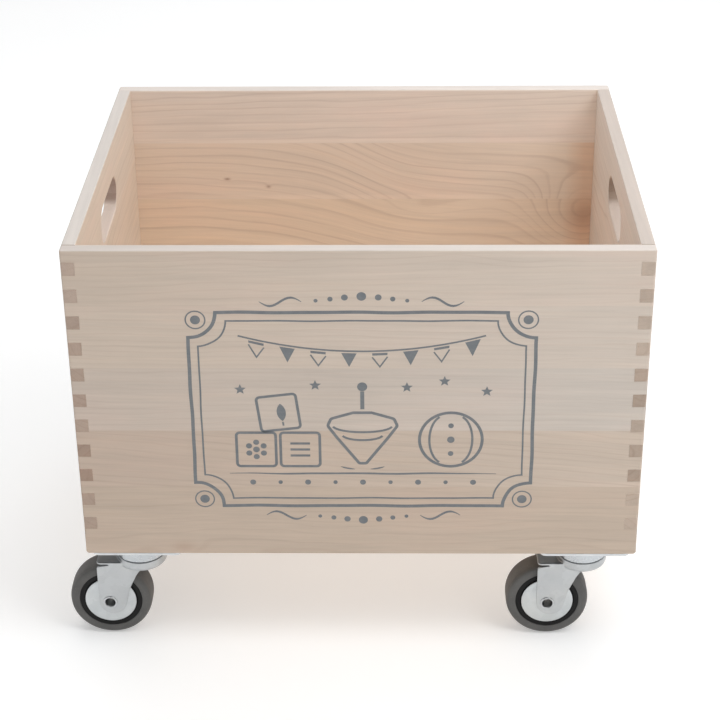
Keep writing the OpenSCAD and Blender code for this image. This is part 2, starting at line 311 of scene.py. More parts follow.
    # some growth zones lean to pink, some to yellow
    base = k.mix(k.span(mottle, 0.50, 0.70, 0, 0.55), base, k.mix(1.0, base, (1.01, 0.955, 0.955), "MULTIPLY"))
    base = k.mix(k.span(streak, 0.55, 0.75, 0, 0.5), base, k.mix(1.0, base, (0.99, 0.965, 0.93), "MULTIPLY"))
    if knot_dark is not None:
        base = k.mix(k.math("MULTIPLY", knot_dark, k.span(quick, 0.2, 0.8, 0.70, 1.0)), base, (0.36, 0.185, 0.110))
    other = 0.0
    # painted light: one face of the board is made lighter or darker for the light that face gets
    if side:
        other = k.span(k.math("MULTIPLY", (nx, ny)[side[0]], side[1]), 0.5, 0.9, 0, 1)
        base = k.mix(other, base, k.mix(1.0, base, side[2], "MULTIPLY"))
    # colour along each board: partly its own tone, partly painted light for how the light falls across the wall
    for (z_from, z_to, a, b, before, after) in tone_and_light_drift:
        here = k.math("MULTIPLY", k.math("GREATER_THAN", pz, z_from), k.math("LESS_THAN", pz, z_to))
        here = k.math("MULTIPLY", here, k.math("SUBTRACT", 1.0, other))
        base = k.mix(here, base, k.mix(1.0, base, k.mix(k.span(along, a, b, 0, 1), before, after), "MULTIPLY"))
    # end grain: darker, each finger in its own tone, with open pores
    row = k.math("FLOOR", k.math("DIVIDE", k.math("SUBTRACT", pz, Z0 + FB - FH / 2), 2 * FH))
    if fingers:
        depth = k.ramp(k.math("DIVIDE", k.math("ADD", row, 0.5), FN), [(i / FN, f) for i, f in enumerate(fingers)], "CONSTANT")
    else:
        which = k.nt.nodes.new("ShaderNodeTexWhiteNoise")
        which.noise_dimensions = "3D"
        k.put(which, "Vector", k.comb(k.math("SIGN", px), k.math("SIGN", py), row))
        depth = which.outputs["Value"]
    dark_end = tuple(c * e for c, e in zip((0.69, 0.635, 0.60), ends))
    pale_end = tuple(c * e for c, e in zip((0.90, 0.865, 0.845), ends))
    endcol = k.mix(1.0, base, k.mix(depth, dark_end, pale_end), "MULTIPLY")
    endcol = k.mix(k.span(endpores, 0.5, 0.75, 0, 0.30), endcol, (0.32, 0.22, 0.16))
    base = k.mix(end, base, endcol)
    # painted light: the rim's top face gets a greyer, paler colour for its sheen and the cool light from above, then a
    # per-wall factor darkens it as painted shade
    base = k.mix(k.math("MULTIPLY", rim, 0.75), base, k.mix(1.0, (0.795, 0.745, 0.705), k.comb(lift, lift, lift), "MULTIPLY"))
    base = k.mix(rim, base, k.mix(1.0, base, rim_light_tone, "MULTIPLY"))
    # painted shade: the inside faces of the handle slot are darkened for the shade in the recess
    if slot_shade:
        past = k.math("MAXIMUM", k.math("SUBTRACT", k.math("ABSOLUTE", py), (SLOT_L - SLOT_H) / 2), 0.0)
        up = k.math("SUBTRACT", pz, SLOT_Z)
        away = k.math("SQRT", k.math("ADD", k.math("MULTIPLY", past, past), k.math("MULTIPLY", up, up)))
        slot_shade_mask = k.span(away, SLOT_H / 2 + 0.0009, SLOT_H / 2 + 0.0001, 0, 1)
        base = k.mix(slot_shade_mask, base, k.mix(1.0, base, slot_shade, "MULTIPLY"))
    k.set(Base_Color=base)
    rough = k.math("ADD", k.math("MULTIPLY", fibre, 0.16), k.math("MULTIPLY_ADD", pore, 0.12, 0.42))
    k.set(Roughness=rough)
    k.bsdf.inputs["Specular IOR Level"].default_value = 0.34
    height = k.math("SUBTRACT", k.math("MULTIPLY_ADD", ring, -0.35, fibre), k.math("MULTIPLY", pore, 0.6))
    height = k.math("SUBTRACT", height, k.math("MULTIPLY", k.math("MULTIPLY", end, endpores), 0.8))
    k.set(Normal=k.bump(height, 0.35, 0.00012))
    return k.mat


# ---------------------------------------------------------------- mesh helpers
def link(me, name, mats):
    ob = bpy.data.objects.new(name, me)
    bpy.context.scene.collection.objects.link(ob)
    for m in mats:
        me.materials.append(m)
    return ob


def put_attr(me, name, values, kind="FLOAT_VECTOR"):
    a = me.attributes.new(name, kind, "POINT")
    flat = []
    for v in values:
        flat.extend(v) if kind == "FLOAT_VECTOR" else flat.append(v)
    a.data.foreach_set("vector" if kind == "FLOAT_VECTOR" else "value", flat)


def smooth(me):
    me.polygons.foreach_set("use_smooth", [True] * len(me.polygons))


def weighted(ob):
    m = ob.modifiers.new("normals", "WEIGHTED_NORMAL")
    m.mode, m.weight, m.keep_sharp = "FACE_AREA", 80, True


def join(parts, name, mats):
    """One object from several finished meshes; their float attributes are kept."""
    bpy.ops.object.select_all(action="DESELECT")
    obs = [link(me, f"{name}_{i}", mats if i == 0 else mats) for i, me in enumerate(parts)]
    for o in obs:
        o.select_set(True)
    bpy.context.view_layer.objects.active = obs[0]
    if len(obs) > 1:
        bpy.ops.object.join()
    ob = obs[0]
    ob.name = name
    ob.data.name = name
    return ob


PLACE = {
    "y": lambda a, b, t: (a, t, b),
    "x": lambda a, b, t: (t, a, b),
    "z": lambda a, b, t: (a, b, t),
}


def slab(outlines, axis, t0, t1, rounds, fine=0.00022, glued=()):
    """A board from one or more outlines that share edges, drawn square to axis, from t0 to t1.
    rounds: [(test(a, b) -> bool, radius, segments)] picks edges to round; every other sharp edge gets a fine one,
    but for those at the heights in glued, where the next board is."""
    bm = bmesh.new()
    place = PLACE[axis]
    verts = {}

    def vert(p):
        key = (round(p[0] * 1e7), round(p[1] * 1e7))
        if key not in verts:
            verts[key] = bm.verts.new(place(p[0], p[1], t0))
        return verts[key]

    faces = []
    for o in outlines:
        vs = []
        for p in o:
            q = vert(p)
            if not vs or (q is not vs[-1]):
                vs.append(q)
        if vs[0] is vs[-1]:
            vs.pop()
        faces.append(bm.faces.new(vs))
    got = bmesh.ops.extrude_face_region(bm, geom=faces)
    moved = [g for g in got["geom"] if isinstance(g, bmesh.types.BMVert)]
    offset = Vector(place(0, 0, t1 - t0))
    for m in moved:
        m.co += offset
    bmesh.ops.recalc_face_normals(bm, faces=bm.faces)
    # the flat faces are one ngon each where an outline is whole
    for test, radius, segments in rounds:
        edges = [e for e in bm.edges if e.is_manifold and e.calc_face_angle(0) > 0.6 and test(e.verts[0].co, e.verts[1].co)]
        if edges:
            bmesh.ops.bevel(bm, geom=edges, offset=radius, segments=segments, profile=0.5, affect="EDGES", clamp_overlap=False, offset_type="OFFSET")
    seam = lambda e: any(abs(e.verts[0].co.z - z) < 1e-6 and abs(e.verts[1].co.z - z) < 1e-6 for z in glued)
    sharp = [e for e in bm.edges if e.is_manifold and e.calc_face_angle(0) > 0.75 and not seam(e)]
    if sharp and fine:
        bmesh.ops.bevel(bm, geom=sharp, offset=fine, segments=2, profile=0.5, affect="EDGES", clamp_overlap=True, offset_type="OFFSET")
    # where two rounds meet, a mitre can stand proud of the board: it is brought back
    flat = [p for o in outlines for p in o]
    lo_c = place(min(p[0] for p in flat), min(p[1] for p in flat), min(t0, t1))
    hi_c = place(max(p[0] for p in flat), max(p[1] for p in flat), max(t0, t1))
    for v in bm.verts:
        v.co = [min(max(v.co[k], lo_c[k]), hi_c[k]) for k in range(3)]
    bmesh.ops.dissolve_degenerate(bm, dist=1e-7, edges=bm.edges)
    bmesh.ops.recalc_face_normals(bm, faces=bm.faces)
    for e in bm.edges:
        e.smooth = not (e.is_manifold and e.calc_face_angle(0) > 0.75)
    me = bpy.data.meshes.new("slab")
    bm.to_mesh(me)
    bm.free()
    smooth(me)
    return me


def edge_line(z_a, z_b, plain, notch):
    """The end of a board from z_a up to z_b: plain, or notch where a finger of the other wall is."""
    eps = 1e-5
    inside = lambda z: any(a < z < b for a, b in FINGERS)
    cur = notch if inside(z_a + eps) else plain
    pts = [(cur, z_a)]
    for z in sorted(z for f in FINGERS for z in f):
        if z_a + eps < z < z_b - eps:
            pts.append((cur, z))
            cur = notch if cur == plain else plain
            pts.append((cur, z))
    pts.append((cur, z_b))
    return pts


def grain_attrs(me, along, across, into, k, pith, tilt, tone, lean=0.0):
    """gc, gt and gs for one board. along, across, into: which coordinates; k: a number of its own; pith: where the pith
    line lies; tilt: how it leans;
    tone: tone, warmth, ring contrast and ring spacing; lean: painted light, how the tone rises along the board, per
    metre, following how the light falls across the wall."""
    gc, gt = [], []
    for vtx in me.vertices:
        c = vtx.co
        a = c[along]
        gc.append((a + 5.0 * k, c[across] - pith[0] + tilt[0] * a, c[into] - pith[1] + tilt[1] * a))
        # painted light: the tone rises along the board, per metre
        gt.append((tone[0] + lean * a, tone[1], tone[2]))
    put_attr(me, "gc", gc)
    put_attr(me, "gt", gt)
    put_attr(me, "gs", [tone[3]] * len(gc), "FLOAT")


RIM_R = 1.3 * MM
SKIN = 0.12 * MM   # the front face sits this far back, for the ink


def long_wall(name, sy, seams, figures, mat):
    """Front (sy = -1) or back (sy = 1) wall, glued up from boards."""
    outer = sy * (Y1 - (SKIN if sy < 0 else 0))
    inner = sy * (Y1 - T)
    parts = []
    heights = [Z0] + [Z0 + s * MM for s in seams] + [Z1]
    gap = 0.008 * MM
    for i in range(len(heights) - 1):
        za, zb = heights[i] + (gap if i else 0), heights[i + 1] - (gap if i < len(heights) - 2 else 0)
        right = edge_line(za, zb, X1, X1 - T)
        left = [(-x, z) for x, z in edge_line(za, zb, X1, X1 - T)]
        if i == 0:
            r = 3 * MM
            arc = [(X1 - r + r * math.sin(a), Z0 + r - r * math.cos(a)) for a in [math.pi / 2 * j / 6 for j in range(7)]]
            right = arc + right[1:]
            left = [(-x, z) for x, z in arc] + left[1:]
        top = i == len(heights) - 2
        bottom = i == 0
        vertical = lambda a, b: abs(a.x - b.x) < 1e-6 and abs(a.y - b.y) < 1e-6 and abs(abs(a.x) - X1) < 1e-5 and abs(a.y - outer) < 1e-5
        rim_out = lambda a, b: top and abs(a.z - Z1) < 1e-6 and abs(b.z - Z1) < 1e-6 and (abs(a.y - outer) < 2.1 * MM and abs(b.y - outer) < 2.1 * MM or (abs(abs(a.x) - X1) < 1e-4 and abs(abs(b.x) - X1) < 1e-4))
        rim_in = lambda a, b: top and abs(a.z - Z1) < 1e-6 and abs(b.z - Z1) < 1e-6 and abs(a.y - inner) < 1e-5 and abs(b.y - inner) < 1e-5
        foot = lambda a, b: bottom and abs(a.z - Z0) < 1e-6 and abs(b.z - Z0) < 1e-6 and abs(a.y - outer) < 1e-5 and abs(b.y - outer) < 1e-5
        me = slab([right + left[::-1]], "y", outer, inner,
                  [(vertical, 2.0 * MM, 4), (rim_out, RIM_R, 3), (rim_in, 0.8 * MM, 2), (foot, 0.7 * MM, 2)],
                  glued=([za] if i else []) + ([] if top else [zb]))
        n, pith, tilt, tone = figures[i]
        # front and back boards grow lighter towards +X: painted light
        grain_attrs(me, 0, 2, 1, n, ((za + zb) / 2 + pith[0], sy * Y1 - sy * pith[1]), tilt, tone, 0.16 if sy < 0 else 0.22)
        parts.append(me)
    ob = join(parts, name, [mat])
    weighted(ob)
    return ob


def slot_edge(upper, n=14):
    """Half of the handle slot's outline, from its -Y end to its +Y end, at or above (upper) or below its middle."""
    r, c = SLOT_H / 2, SLOT_L / 2 - SLOT_H / 2
    s = 1 if upper else -1
    pts = [(-c - r * math.cos(a), SLOT_Z + s * r * math.sin(a)) for a in [math.pi / 2 * j / n for j in range(n + 1)]]
    pts += [(c + r * math.sin(a), SLOT_Z + s * r * math.cos(a)) for a in [math.pi / 2 * j / n for j in range(n + 1)]]
    return pts


def short_wall(name, sx, seams, figures, mat):
    """Left (sx = -1) or right (sx = 1) wall, with its handle slot."""
    outer, inner = sx * X1, sx * (X1 - T)
    parts = []
    heights = [Z0] + [Z0 + s * MM for s in seams] + [Z1]
    gap = 0.008 * MM
    for i in range(len(heights) - 1):
        za, zb = heights[i] + (gap if i else 0), heights[i + 1] - (gap if i < len(heights) - 2 else 0)
        right = edge_line(za, zb, Y1 - T, Y1)
        left = [(-y, z) for y, z in right]
        top = i == len(heights) - 2
        holed = za < SLOT_Z - SLOT_H / 2 and zb > SLOT_Z + SLOT_H / 2
        if holed:
            # four outlines round the slot, which share their edges
            low, high = slot_edge(False), slot_edge(True)
            left_low = [p for p in left if p[1] < SLOT_Z - 1e-6]
            left_high = [p for p in left if p[1] > SLOT_Z + 1e-6]
            right_low = [p for p in right if p[1] < SLOT_Z - 1e-6]
            right_high = [p for p in right if p[1] > SLOT_Z + 1e-6]
            yl, yr = left_low[-1][0], right_low[-1][0]
            mid_l, mid_r = (yl, SLOT_Z), (yr, SLOT_Z)
            outlines = [
                left_low[:1] + right_low + [mid_r] + low[::-1] + [mid_l] + left_low[:0:-1],
                [mid_l] + high + [mid_r] + right_high + left_high[::-1],
            ]
        else:
            outlines = [right + left[::-1]]
        vertical = lambda a, b: abs(a.x - b.x) < 1e-6 and abs(a.y - b.y) < 1e-6 and abs(abs(a.y) - Y1) < 1e-5 and abs(a.x - outer) < 1e-5
        rim_out = lambda a, b: top and abs(a.z - Z1) < 1e-6 and abs(b.z - Z1) < 1e-6 and abs(a.x - outer) < 1e-5 and abs(b.x - outer) < 1e-5
        rim_in = lambda a, b: top and abs(a.z - Z1) < 1e-6 and abs(b.z - Z1) < 1e-6 and abs(a.x - inner) < 1e-5 and abs(b.x - inner) < 1e-5
        foot = lambda a, b: i == 0 and abs(a.z - Z0) < 1e-6 and abs(b.z - Z0) < 1e-6 and abs(a.x - outer) < 1e-5 and abs(b.x - outer) < 1e-5

        def hole(a, b):
            for p in (a, b):
                dy = max(abs(p.y) - (SLOT_L - SLOT_H) / 2, 0)
                if abs(math.hypot(dy, p.z - SLOT_Z) - SLOT_H / 2) > 3e-5 or abs(p.x - a.x) > 1e-6:
                    return False
            return True

        me = slab(outlines, "x", outer, inner,
                  [(vertical, 2.0 * MM, 4), (rim_out, RIM_R, 3), (rim_in, 0.8 * MM, 2), (foot, 0.7 * MM, 2), (hole, 1.2 * MM, 3)],
                  glued=([za] if i else []) + ([] if top else [zb]))
        n, pith, tilt, tone = figures[i]
        grain_attrs(me, 1, 2, 0, n, ((za + zb) / 2 + pith[0], sx * X1 - sx * pith[1]), tilt, tone)
        parts.append(me)
    ob = join(parts, name, [mat])
    weighted(ob)
    return ob


def floor_boards(name, seams, figures, mat):
    """The floor: boards edge to edge, their ends and outer edges stepped down where they lie under the walls."""
    lo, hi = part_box("floor_panel")
    step_z = hi.z - 1.0 * MM
    in_x, in_y = X1 - T, Y1 - T
    parts = []
    rows = [-in_y] + [q * MM for q in seams] + [in_y]
    for i in range(len(rows) - 1):
        first, last = i == 0, i == len(rows) - 2
        a, b = rows[i] + (0 if first else 0.03 * MM), rows[i + 1] - (0 if last else 0.03 * MM)
        bm = bmesh.new()
        z0, z1, z2 = lo.z + 0.05 * MM, step_z, hi.z
        seen = {}

        def face(*pts):
            vs = []
            for q in pts:
                key = tuple(round(c * 1e7) for c in q)
                if key not in seen:
                    seen[key] = bm.verts.new(q)
                vs.append(seen[key])
            bm.faces.new(vs)

        def side(y):
            face((-hi.x, y, z0), (hi.x, y, z0), (hi.x, y, z1), (in_x, y, z1), (in_x, y, z2), (-in_x, y, z2), (-in_x, y, z1), (-hi.x, y, z1))

        ya, yb = (lo.y if first else a), (hi.y if last else b)
        face((-hi.x, ya, z0), (-hi.x, yb, z0), (hi.x, yb, z0), (hi.x, ya, z0))
        face((-in_x, a, z2), (in_x, a, z2), (in_x, b, z2), (-in_x, b, z2))
        for sx in (-1, 1):
            face((sx * hi.x, ya, z0), (sx * hi.x, yb, z0), (sx * hi.x, yb, z1), (sx * hi.x, ya, z1))
            face((sx * in_x, a, z1), (sx * in_x, b, z1), (sx * in_x, b, z2), (sx * in_x, a, z2))
        if first or last:
            out, inn, seam = (ya, a, b) if first else (yb, b, a)
            face((-hi.x, out, z0), (hi.x, out, z0), (hi.x, out, z1), (-hi.x, out, z1))
            face((-in_x, inn, z1), (in_x, inn, z1), (in_x, inn, z2), (-in_x, inn, z2))
            face((-hi.x, out, z1), (hi.x, out, z1), (hi.x, seam, z1), (in_x, seam, z1), (in_x, inn, z1), (-in_x, inn, z1), (-in_x, seam, z1), (-hi.x, seam, z1))
            side(seam)
        else:
            side(a)
            side(b)
            for sx in (-1, 1):
                face((sx * hi.x, a, z1), (sx * hi.x, b, z1), (sx * in_x, b, z1), (sx * in_x, a, z1))
        bmesh.ops.recalc_face_normals(bm, faces=bm.faces)
        top = [e for e in bm.edges if abs(e.verts[0].co.z - hi.z) < 1e-7 and abs(e.verts[1].co.z - hi.z) < 1e-7]
        bmesh.ops.bevel(bm, geom=top, offset=0.25 * MM, segments=2, profile=0.5, affect="EDGES")
        bmesh.ops.recalc_face_normals(bm, faces=bm.faces)
        for e in bm.edges:
            e.smooth = not (e.is_manifold and e.calc_face_angle(0) > 0.75)
        me = bpy.data.meshes.new("board")
        bm.to_mesh(me)
        bm.free()
        smooth(me)
        n, pith, tilt, tone = figures[i]
        grain_attrs(me, 0, 1, 2, n, ((a + b) / 2 + pith[0], hi.z - pith[1]), tilt, tone)
        parts.append(me)
    ob = join(parts, name, [mat])
    weighted(ob)
    return ob


# board figures: own number, pith (across, into) in metres, lean, (tone, warmth, ring contrast)
M = MM
# painted light on the front wall: its inside face is made 18 % lighter to lift the shade inside the box, and each
# board's colour shifts from left to right, partly its own tone, partly the light falling across the wall
wood_front = wood("wood_front", "x", knots=[(-0.157, Z0 + 0.007, 0.010, 0.005, 0.004, 0.30)],
                  strips=[(Z0 + 0.0735, 0.0030, 0.030), (Z0 + 0.1312, 0.0035, 0.025), (Z0 + 0.2515, 0.003, 0.012)], rim_light_tone=(0.835, 0.82, 0.815),
                  tone_and_light_drift=[(Z0 - 0.001, Z0 + 0.0706, -0.17, 0.19, (0.975, 0.955, 0.935), (0.925, 0.915, 0.900)),
                         (Z0 + 0.0706, Z0 + 0.128, -0.17, 0.19, (0.905, 0.885, 0.880), (0.945, 0.955, 0.965)),
                         (Z0 + 0.128, Z0 + 0.1895, -0.17, 0.19, (0.920, 0.895, 0.885), (0.915, 0.935, 0.960)),
                         (Z0 + 0.1895, Z0 + 0.249, -0.17, 0.19, (0.975, 0.955, 0.935), (0.965, 0.980, 1.000)),
                         (Z0 + 0.249, Z0 + 0.301, -0.17, 0.19, (0.955, 0.935, 0.915), (0.985, 0.995, 1.010))],
                  side=(1, 1, (1.18, 1.18, 1.18)))
# painted light on the back wall: paler inside wood, its right part lightened where the right wall's shade falls, a
# painted shade strip in the right-hand corner, and its outside face darkened back
wood_back = wood("wood_back", "x", PALE_IN_PAINTED_LIGHT, TAN_IN_PAINTED_LIGHT, knots=[
    (0.226, Z0 + 0.161, 0.022, 0.019, 0.085, 0.50), (-0.140, Z0 + 0.2035, 0.0030, 0.0014, 0.003, 0.9),
    (-0.098, Z0 + 0.195, 0.0022, 0.0016, 0.003, 0.65), (0.062, Z0 + 0.172, 0.018, 0.0050, 0.011, 0.0)],
    steps=[(-0.002, 0.060, 0.026, Z0 + 0.181, Z0 + 0.243), (-0.020, 0.075, 0.024, Z0 + 0.119, Z0 + 0.181)],
    strips=[(Z0 + 0.2458, 0.0035, 0.060), (Z0 + 0.1835, 0.0032, 0.060)], rim_light_tone=(0.86, 0.845, 0.84),
    tone_and_light_drift=[(Z0 - 0.001, Z0 + 0.181, 0.00, 0.17, (1.03, 1.03, 1.04), (1.12, 1.15, 1.20)),
           (Z0 + 0.181, Z0 + 0.243, 0.05, 0.20, (1.02, 1.025, 1.06), (1.08, 1.12, 1.18)),
           (Z0 + 0.243, Z0 + 0.301, 0.05, 0.20, (1.02, 1.025, 1.06), (1.02, 1.04, 1.08)),
           (Z0 - 0.001, Z0 + 0.243, 0.204, 0.224, (1, 1, 1), (0.95, 0.84, 0.77))],
    side=(1, 1, (0.78, 0.78, 0.78)))
# painted light: the side walls' wood is paler for their inside faces and darker on their outside faces; their rims and
# slot insides carry painted shade
wood_left = wood("wood_left", "y", (0.780, 0.685, 0.595), (0.770, 0.620, 0.490), ends=(0.682, 0.638, 0.628),
                 fingers=(0.8, 0.7, 0.0, 0.1, 0.8, 0.55, 0.7, 0.7, 0.4, 1.0, 1.0), rim_light_tone=(0.79, 0.785, 0.785), slot_shade=(0.856, 0.826, 0.845),
                 side=(0, -1, (0.84, 0.84, 0.84)))
wood_right = wood("wood_right", "y", (0.815, 0.745, 0.690), (0.800, 0.690, 0.600), ends=(0.688, 0.645, 0.594),
                  fingers=(1.0, 0.95, 0.15, 0.35, 0.55, 0.0, 0.4, 1.0, 0.8, 0.55, 0.85), rim_light_tone=(0.66, 0.617, 0.588), slot_shade=(0.675, 0.62, 0.585),
                  side=(0, 1, (0.77, 0.74, 0.69)))
# the floor inside the box uses the paler inside wood: painted light
wood_floor = wood("wood_floor", "x", PALE_IN_PAINTED_LIGHT, TAN_IN_PAINTED_LIGHT)

front = long_wall("front_wall", -1, [70.6, 128.0, 189.5, 249.0], [
    (1, (-60 * M, 55 * M), (0.02, 0.03), (-0.090, 0.66, 0.62, 0.0052)),
    (2, (60 * M, 26 * M), (0.07, 0.035), (-0.040, 0.66, 0.72, 0.0060)),
    (3, (80 * M, 30 * M), (0.01, 0.02), (0.000, 0.05, 0.42, 0.0046)),
    (4, (-95 * M, 40 * M), (0.02, 0.01), (-0.015, 0.26, 0.52, 0.0050)),
    (5, (70 * M, 60 * M), (-0.02, 0.01), (-0.018, 0.32, 0.52, 0.0054)),
], wood_front)
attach(front, "box"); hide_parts("front_panel")

back = long_wall("back_wall", 1, [58.0, 119.0, 181.0, 243.0], [
    (11, (30 * M, 40 * M), (0.02, 0.03), (-0.02, 0.45, 0.8, 0.0090)),
    (12, (-40 * M, 25 * M), (0.02, 0.05), (-0.01, 0.65, 0.9, 0.0100)),
    (13, (-42 * M, 14 * M), (-0.01, 0.03), (0.01, 0.66, 0.80, 0.0140)),
    (14, (-66 * M, 16 * M), (0.02, -0.02), (0.01, 0.50, 0.80, 0.0092)),
    (15, (95 * M, 42 * M), (-0.02, 0.02), (0.015, 0.06, 0.65, 0.0085)),
], wood_back)
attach(back, "box"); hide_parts("back_panel")

left = short_wall("left_wall", -1, [62.0, 121.0, 178.0, 228.0], [
    (21, (40 * M, 30 * M), (0.02, 0.03), (-0.02, 0.45, 0.6, 0.0080)),
    (22, (-20 * M, 22 * M), (0.02, 0.04), (0.0, 0.55, 0.8, 0.0090)),
    (23, (60 * M, 30 * M), (0.01, 0.03), (-0.01, 0.35, 0.6, 0.0070)),
    (24, (10 * M, 22 * M), (0.02, 0.05), (0.0, 0.40, 0.8, 0.0090)),
    (25, (-80 * M, 30 * M), (0.02, 0.02), (0.01, 0.20, 0.5, 0.0070)),
], wood_left)
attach(left, "box"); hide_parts("left_panel")

# the right wall's boards have their tone raised: painted light that lifts the shade on its inside face
right = short_wall("right_wall", 1, [55.0, 118.0, 172.0, 226.0], [
    (31, (-30 * M, 30 * M), (0.02, 0.03), (0.05, 0.45, 0.6, 0.0080)),
    (32, (20 * M, 24 * M), (-0.02, 0.04), (0.06, 0.50, 0.8, 0.0085)),
    (33, (-70 * M, 30 * M), (0.01, 0.03), (0.06, 0.25, 0.6, 0.0070)),
    (34, (5 * M, 20 * M), (0.03, 0.05), (0.07, 0.40, 0.8, 0.0090)),
    (35, (90 * M, 30 * M), (0.02, 0.02), (0.08, 0.22, 0.5, 0.0070)),
], wood_right)
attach(right, "box"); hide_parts("right_panel")

floor_ob = floor_boards("floor_boards", [-112, -38, 41, 118], [
    (41, (30 * M, 26 * M), (0.02, 0.04), (-0.02, 0.40, 0.8, 0.0085)),
    (42, (-20 * M, 18 * M), (0.03, 0.05), (0.0, 0.55, 0.9, 0.0095)),
    (43, (60 * M, 30 * M), (0.02, 0.02), (0.01, 0.25, 0.6, 0.0080)),
    (44, (5 * M, 17 * M), (-0.03, 0.05), (0.0, 0.50, 0.9, 0.0095)),
    (45, (-70 * M, 35 * M), (0.02, 0.03), (-0.01, 0.35, 0.7, 0.0080)),
], wood_floor)
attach(floor_ob, "box"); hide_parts("floor_panel")


# ---------------------------------------------------------------- metal, plastic, rubber
def zinc(name, scratch=1.0, base=(0.655, 0.672, 0.680), rough=0.30, shade=None):
    """Bright zinc plate. shade: (low, high, amount) darkens faces that look up between two heights; or "bore", the inside of a tube."""
    k = Net(name)
    p = k.coord()
    cloud = k.noise(p, 45, 4.0, 0.6)
    spangle = k.voronoi(k.vec("ADD", p, k.vec("SCALE", k.noise(p, 160, 2.0, 0.5), scale=0.01)), 130, "F1", "Color")
    sx, sy, sz = k.sep(spangle)
    fine = k.noise(k.vec("MULTIPLY", p, (900, 900, 260)), 1, 3.0, 0.6)
    drag = k.noise(k.vec("MULTIPLY", p, (90, 1400, 1400)), 1, 3.0, 0.6)
    col = k.mix(k.span(cloud, 0.3, 0.7, 0, 1), base, (base[0] * 0.90, base[1] * 0.915, base[2] * 0.93))
    col = k.mix(k.math("MULTIPLY", sx, 0.10), col, (0.90, 0.92, 0.94))
    col = k.mix(k.span(k.noise(p, 14, 2.0, 0.5), 0.55, 0.75, 0, 0.16), col, (0.84, 0.80, 0.70))
    if shade == "bore":
        rad, ax, ang = k.sep(k.attr("cyl").outputs["Vector"])
        deep = k.span(k.math("ABSOLUTE", ax), 0.0150, 0.0085, 0.0, 0.22)
        col = k.mix(k.math("MULTIPLY", k.span(rad, 0.0047, 0.0044, 0, 1), deep), col, (0.03, 0.028, 0.027))
    elif shade:
        pz, nz = k.sep(p)[2], k.sep(k.coord("Normal"))[2]
        band = k.math("MULTIPLY", k.math("GREATER_THAN", pz, shade[0]), k.math("LESS_THAN", pz, shade[1]))
        col = k.mix(k.math("MULTIPLY", k.math("MULTIPLY", band, k.span(nz, 0.5, 0.9, 0, 1)), shade[2]), col, (0.13, 0.14, 0.15))
    k.set(Base_Color=col)
    k.bsdf.inputs["Metallic"].default_value = 1.0
    rr = k.math("ADD", k.math("MULTIPLY", sy, 0.07), k.math("MULTIPLY_ADD", cloud, 0.16, rough - 0.08))
    rr = k.math("ADD", rr, k.math("MULTIPLY", k.span(drag, 0.55, 0.8, 0, 1), 0.12 * scratch))
    k.set(Roughness=rr)
    h = k.math("ADD", k.math("MULTIPLY", fine, 0.4), k.math("MULTIPLY", drag, 0.6 * scratch))
    k.set(Normal=k.bump(h, 0.22, 0.00006))
    return k.mat


def rubber(name):
    k = Net(name)
    p = k.coord()
    rad, ax, ang = k.sep(k.attr("cyl").outputs["Vector"])
    big = k.noise(p, 60, 4.0, 0.6)
    fine = k.noise(p, 2600, 3.0, 0.6)
    moulded = k.noise(k.comb(k.math("MULTIPLY", rad, 1500), k.math("MULTIPLY", ang, 1.3), 0.0), 1, 3.0, 0.5)
    tread = k.span(rad, 0.0360, 0.0373, 0, 1)
    col = k.mix(k.span(big, 0.3, 0.7, 0, 1), (0.090, 0.088, 0.084), (0.120, 0.117, 0.112))
    col = k.mix(k.math("MULTIPLY", tread, k.span(k.noise(p, 240, 4.0, 0.6), 0.35, 0.65, 0.35, 0.85)), col, (0.136, 0.127, 0.119))
    col = k.mix(k.span(moulded, 0.5, 0.8, 0, 0.25), col, (0.07, 0.068, 0.066))
    dust = k.span(k.noise(p, 900, 2.0, 0.5), 0.66, 0.74, 0, 0.25)
    col = k.mix(dust, col, (0.30, 0.28, 0.26))
    k.set(Base_Color=col)
    k.set(Roughness=k.math("ADD", k.math("MULTIPLY_ADD", big, 0.12, 0.50), k.math("MULTIPLY", tread, 0.14)))
    k.bsdf.inputs["Specular IOR Level"].default_value = 0.42
    k.set(Normal=k.bump(k.math("ADD", fine, k.math("MULTIPLY", moulded, 0.6)), 0.30, 0.00008))
    return k.mat


def plastic(name):
    k = Net(name)
    p = k.coord()
    grain = k.noise(p, 1900, 3.0, 0.6)
    cloud = k.noise(p, 70, 3.0, 0.6)
    col = k.mix(cloud, (0.0030, 0.0028, 0.0028), (0.0062, 0.0056, 0.0056))
    scuff = k.span(k.noise(k.vec("MULTIPLY", p, (260, 1500, 260)), 1, 3.0, 0.6), 0.62, 0.76, 0, 0.30)
    col = k.mix(scuff, col, (0.035, 0.033, 0.032))
    k.set(Base_Color=col)
    k.set(Roughness=k.math("MULTIPLY_ADD", grain, 0.18, 0.30))
    k.bsdf.inputs["Specular IOR Level"].default_value = 0.2
    k.set(Normal=k.bump(grain, 0.18, 0.00006))
    return k.mat


